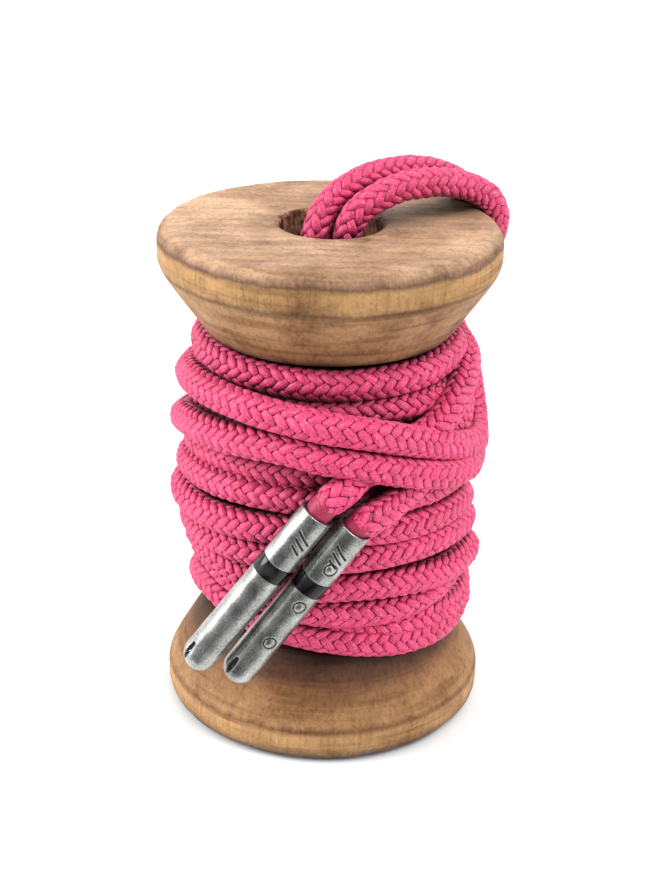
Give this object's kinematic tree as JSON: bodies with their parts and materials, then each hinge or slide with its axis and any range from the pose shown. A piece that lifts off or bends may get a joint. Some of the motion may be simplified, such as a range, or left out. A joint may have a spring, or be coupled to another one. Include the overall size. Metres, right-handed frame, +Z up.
{
  "type": "spool of braided lace",
  "caption": "Turned wooden spool wound with one long doubled round braided lace, metal-tipped at each end, its middle looped into the spool's hole.",
  "frame": {"origin": "middle of the lower head's foot, on the surface the spool stands on", "axes": "+Z up along the spool's axis; -Y towards the front, where the two tips lie; +X to the right seen from the front"},
  "size_m": [0.054, 0.0565, 0.0874],
  "materials": {
    "top_head_wood": "worn turned wood, waxed and stained",
    "bottom_head_wood": "worn turned wood, mottled and stained",
    "barrel_wood": "plain turned wood",
    "braid": "herringbone braid of bright pink multifilament yarn",
    "pewter": "satin, slightly grainy grey metal",
    "black_band": "gloss black",
    "clear_film": "clear shrunk film over pink yarn"
  },
  "bodies": {
    "spool": {"top_flange": "top_head_wood", "bottom_flange": "bottom_head_wood", "barrel": "barrel_wood", "lace_winding": "braid", "lace_bridge": "braid"},
    "left_tail": {"left_tail": "braid"},
    "left_tip": {"left_film": "clear_film", "left_lace_end": "braid", "left_aglet": "pewter", "left_band": "black_band"},
    "right_tail": {"right_tail": "braid"},
    "right_tip": {"right_film": "clear_film", "right_lace_end": "braid", "right_aglet": "pewter", "right_band": "black_band"}
  },
  "joints": [
    {"name": "left_tail_swing", "type": "hinge", "parent": "spool", "child": "left_tail", "pos_m": [0.0045, -0.0277, 0.0497], "axis": [0, 1, 0], "range_deg": [0, 30]},
    {"name": "left_tip_lift", "type": "hinge", "parent": "left_tail", "child": "left_tip", "pos_m": [0.00027, -0.02797, 0.04649], "axis": [-0.8156, 0, 0.5787], "range_deg": [0, 40]},
    {"name": "right_tail_swing", "type": "hinge", "parent": "spool", "child": "right_tail", "pos_m": [0.011, -0.0268, 0.0462], "axis": [0, -1, 0], "range_deg": [0, 60]},
    {"name": "right_tip_lift", "type": "hinge", "parent": "right_tail", "child": "right_tip", "pos_m": [0.00565, -0.02747, 0.04401], "axis": [-0.8235, 0, 0.5673], "range_deg": [0, 40]}
  ]
}
